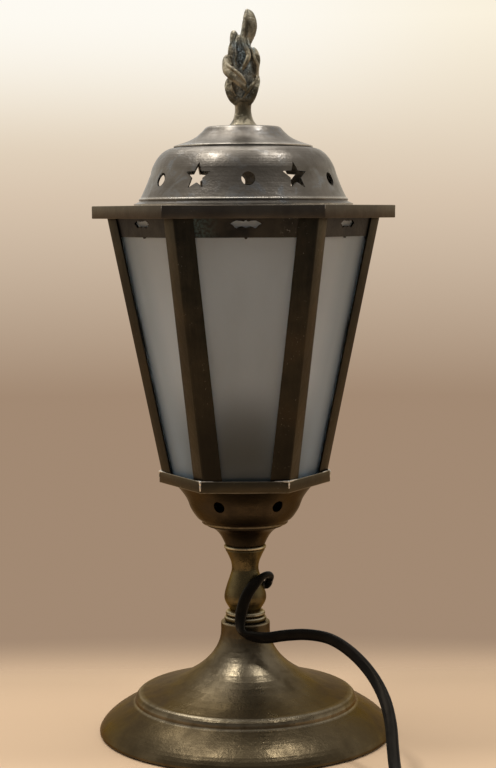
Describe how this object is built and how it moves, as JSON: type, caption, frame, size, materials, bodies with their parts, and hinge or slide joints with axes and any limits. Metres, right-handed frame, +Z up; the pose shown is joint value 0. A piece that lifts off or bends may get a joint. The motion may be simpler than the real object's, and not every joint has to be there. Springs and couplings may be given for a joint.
{
  "type": "lantern table lamp",
  "caption": "Table lamp shaped like a street lantern: a six-sided frosted glass lantern under a pierced dome and flame finial, on a turned stem and a round weighted base.",
  "frame": {"origin": "middle of the foot, on the surface that the lamp stands on", "axes": "+Z up along the stem, -Y out of the lantern's front pane, +X through a corner of the lantern, towards the side that the flex leaves"},
  "size_m": [0.174, 0.3237, 0.4001],
  "materials": {
    "felt": "matt felt",
    "cast_iron": "rough cast",
    "brass_base": "aged, satin, olive brown",
    "brass_stem": "aged, satin, golden brown",
    "brass_nuts": "plain turned",
    "zinc_steel": "zinc plated",
    "brass_frame": "dark brown patina",
    "frosted_glass": "etched, frosted on the inside",
    "holder_metal": "dark",
    "porcelain": "glazed",
    "contact_brass": "bright",
    "lamp_metal": "satin",
    "lamp_glass": "clear",
    "filament": "plain",
    "brass_roof": "aged, satin, pewter brown",
    "brass_cast": "cast, dark hollows with a grey-blue bloom",
    "flex_pvc": "glossy black",
    "black_plastic": "glossy black",
    "nickel": "nickel plated"
  },
  "bodies": {
    "lamp": {"felt_pad": "felt", "base_weight": "cast_iron", "base_shell": "brass_base", "base_nut": "brass_nuts", "threaded_tube": "zinc_steel", "stem": "brass_stem", "cord_bush": "black_plastic", "neck": "brass_base", "gallery_cup": "brass_base", "lower_tray": "brass_frame", "tray_nut": "brass_nuts", "corner_post_1": "brass_frame", "corner_post_2": "brass_frame", "corner_post_3": "brass_frame", "corner_post_4": "brass_frame", "corner_post_5": "brass_frame", "corner_post_6": "brass_frame", "frieze_1": "brass_frame", "frieze_2": "brass_frame", "frieze_3": "brass_frame", "frieze_4": "brass_frame", "frieze_5": "brass_frame", "frieze_6": "brass_frame", "glass_pane_1": "frosted_glass", "glass_pane_2": "frosted_glass", "glass_pane_3": "frosted_glass", "glass_pane_4": "frosted_glass", "glass_pane_5": "frosted_glass", "glass_pane_6": "frosted_glass", "pane_clips": "brass_frame", "frame_head": "brass_frame", "holder_shell": "holder_metal", "holder_insulator": "porcelain", "holder_liner": "contact_brass", "holder_contact": "contact_brass", "lamp_cap": "lamp_metal", "lamp_bulb": "lamp_glass", "lamp_filament": "filament", "inner_flex": "flex_pvc", "flex_lead": "flex_pvc", "switch_base": "black_plastic", "switch_cover": "black_plastic", "switch_screws": "zinc_steel", "flex_run": "flex_pvc", "flex_coil": "flex_pvc", "coil_tie": "black_plastic", "flex_tail": "flex_pvc", "plug_body": "black_plastic", "plug_pins": "nickel"},
    "roof": {"eaves": "brass_frame", "roof_lugs": "brass_frame", "dome": "brass_roof", "roof_cap": "brass_roof", "finial": "brass_cast", "finial_stud": "zinc_steel", "roof_nut": "brass_nuts"},
    "rocker": {"switch_rocker": "black_plastic"}
  },
  "joints": [
    {"name": "roof_lift", "type": "slide", "parent": "lamp", "child": "roof", "axis": [0, 0, 1], "range_m": [0, 0.1]},
    {"name": "switch_tip", "type": "hinge", "parent": "lamp", "child": "rocker", "pos_m": [0.076, -0.166, 0.0126], "axis": [-1, 0, 0], "range_deg": [0, 16]}
  ]
}
